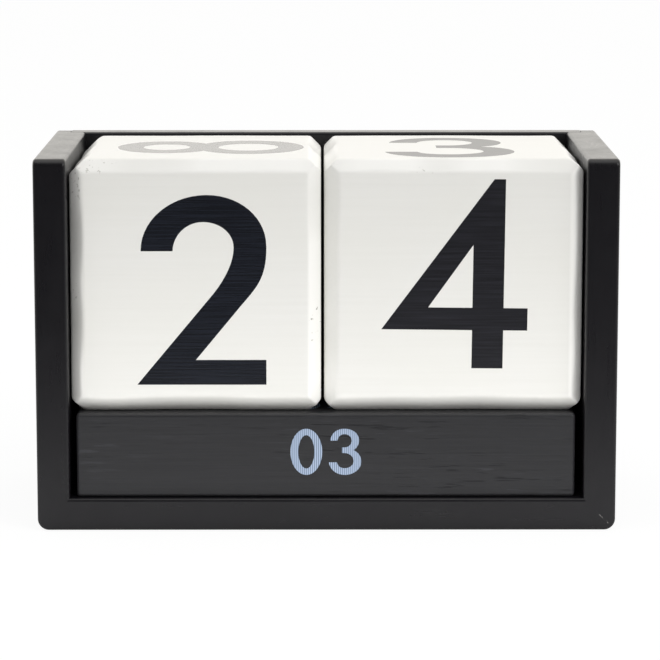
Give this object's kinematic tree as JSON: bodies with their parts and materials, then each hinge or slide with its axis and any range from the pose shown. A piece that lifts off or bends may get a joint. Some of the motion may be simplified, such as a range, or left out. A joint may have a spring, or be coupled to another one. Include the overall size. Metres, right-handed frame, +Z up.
{
  "type": "desk calendar",
  "caption": "Perpetual desk calendar: two white day cubes stand on black month bars in an open-fronted black wooden tray; the cubes lift out and the bars slide out to be turned.",
  "frame": {"origin": "on the table under the middle of the tray, at the centre of its underside", "axes": "+X to the viewer's right along the tray's width, +Y from the open front to the back panel, +Z up"},
  "size_m": [0.155, 0.079, 0.1],
  "materials": {
    "black_painted_board": "black satin paint on smooth board",
    "black_painted_bar": "black satin paint with the grain showing through",
    "white_painted_block": "white satin paint, edges eased by hand",
    "painted_pin": "steel pin painted over in black",
    "black_print": "black screen print",
    "pale_blue_print": "pale blue screen print"
  },
  "bodies": {
    "tray": {"base_board": "black_painted_board", "left_side_board": "black_painted_board", "right_side_board": "black_painted_board", "back_panel": "black_painted_board", "corner_pins": "painted_pin", "back_panel_pins": "painted_pin"},
    "left_cube": {"left_day_cube": "white_painted_block"},
    "right_cube": {"right_day_cube": "white_painted_block"},
    "rear_bar": {"rear_month_bar": "black_painted_bar"},
    "middle_bar": {"middle_month_bar": "black_painted_bar"},
    "front_bar": {"front_month_bar": "black_painted_bar"}
  },
  "joints": [
    {"name": "left_cube_lift", "type": "slide", "parent": "tray", "child": "left_cube", "axis": [0, 0, 1], "range_m": [0, 0.075]},
    {"name": "right_cube_lift", "type": "slide", "parent": "tray", "child": "right_cube", "axis": [0, 0, 1], "range_m": [0, 0.075]},
    {"name": "rear_bar_slide", "type": "slide", "parent": "tray", "child": "rear_bar", "axis": [0, -1, 0], "range_m": [0, 0.075]},
    {"name": "middle_bar_slide", "type": "slide", "parent": "rear_bar", "child": "middle_bar", "axis": [0, -1, 0], "range_m": [0, 0.05]},
    {"name": "front_bar_slide", "type": "slide", "parent": "middle_bar", "child": "front_bar", "axis": [0, -1, 0], "range_m": [0, 0.03]}
  ]
}
